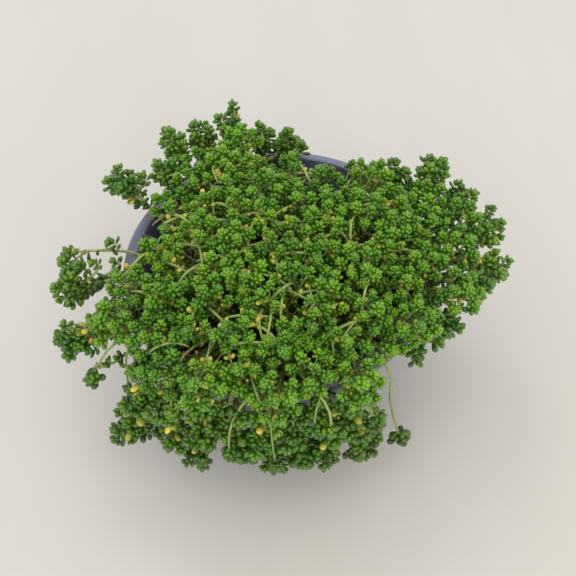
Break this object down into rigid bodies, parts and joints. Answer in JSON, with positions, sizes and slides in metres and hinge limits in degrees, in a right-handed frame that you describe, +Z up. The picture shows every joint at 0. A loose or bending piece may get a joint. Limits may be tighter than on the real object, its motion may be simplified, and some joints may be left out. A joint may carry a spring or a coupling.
{
  "type": "potted sedum",
  "caption": "Small bead-leaved sedum in a shallow round nursery pan: a low mat of leaf rosettes fills the pan, and leafy shoots spill over the lip all round.",
  "frame": {"origin": "centre of the pot's flat base, on the floor that it stands on", "axes": "+Z up, along the pot's axis; -Y towards the side that faces the viewer, where the longest shoots hang"},
  "size_m": [0.18, 0.1505, 0.0915],
  "materials": {
    "pot_plastic": "dark bluish-grey moulded plastic, satin, dusty, with a soft lavender sheen on the lip",
    "potting_soil": "dark, crumbly, bark-based potting mix, matt",
    "mat_foliage": "fresh yellowish green succulent leaves, waxy and glossy",
    "trailing_foliage": "mid green succulent leaves on pale green stems, waxy and glossy"
  },
  "bodies": {
    "root": {"pot": "pot_plastic", "soil": "potting_soil", "mat_spray_01": "mat_foliage", "mat_spray_02": "mat_foliage", "mat_spray_03": "mat_foliage", "mat_spray_04": "mat_foliage", "mat_spray_05": "mat_foliage", "mat_spray_06": "mat_foliage", "mat_spray_07": "mat_foliage", "mat_spray_08": "mat_foliage", "mat_spray_09": "mat_foliage", "mat_spray_10": "mat_foliage", "mat_spray_11": "mat_foliage", "mat_spray_12": "mat_foliage", "mat_spray_13": "mat_foliage", "mat_spray_14": "mat_foliage", "mat_spray_15": "mat_foliage", "mat_spray_16": "mat_foliage", "mat_spray_17": "mat_foliage", "mat_spray_18": "mat_foliage", "mat_spray_19": "mat_foliage", "mat_spray_20": "mat_foliage", "trailing_shoot_back_1": "trailing_foliage", "trailing_shoot_back_2": "trailing_foliage", "trailing_shoot_back_3": "trailing_foliage", "trailing_shoot_back_4": "trailing_foliage", "trailing_shoot_front_1": "trailing_foliage", "trailing_shoot_front_2": "trailing_foliage", "trailing_shoot_front_3": "trailing_foliage", "trailing_shoot_front_left_1": "trailing_foliage", "trailing_shoot_front_left_2": "trailing_foliage", "trailing_shoot_front_left_3": "trailing_foliage", "trailing_shoot_front_left_4": "trailing_foliage", "trailing_shoot_front_right_1": "trailing_foliage", "trailing_shoot_front_right_2": "trailing_foliage", "trailing_shoot_front_right_3": "trailing_foliage", "trailing_shoot_left_1": "trailing_foliage", "trailing_shoot_left_2": "trailing_foliage", "trailing_shoot_left_3": "trailing_foliage", "trailing_shoot_left_back_1": "trailing_foliage", "trailing_shoot_left_back_2": "trailing_foliage", "trailing_shoot_left_back_3": "trailing_foliage", "trailing_shoot_right_1": "trailing_foliage", "trailing_shoot_right_2": "trailing_foliage", "trailing_shoot_right_3": "trailing_foliage", "trailing_shoot_right_4": "trailing_foliage", "trailing_shoot_right_5": "trailing_foliage", "trailing_shoot_right_back_1": "trailing_foliage", "trailing_shoot_right_back_2": "trailing_foliage", "trailing_shoot_right_back_3": "trailing_foliage"}
  },
  "joints": []
}
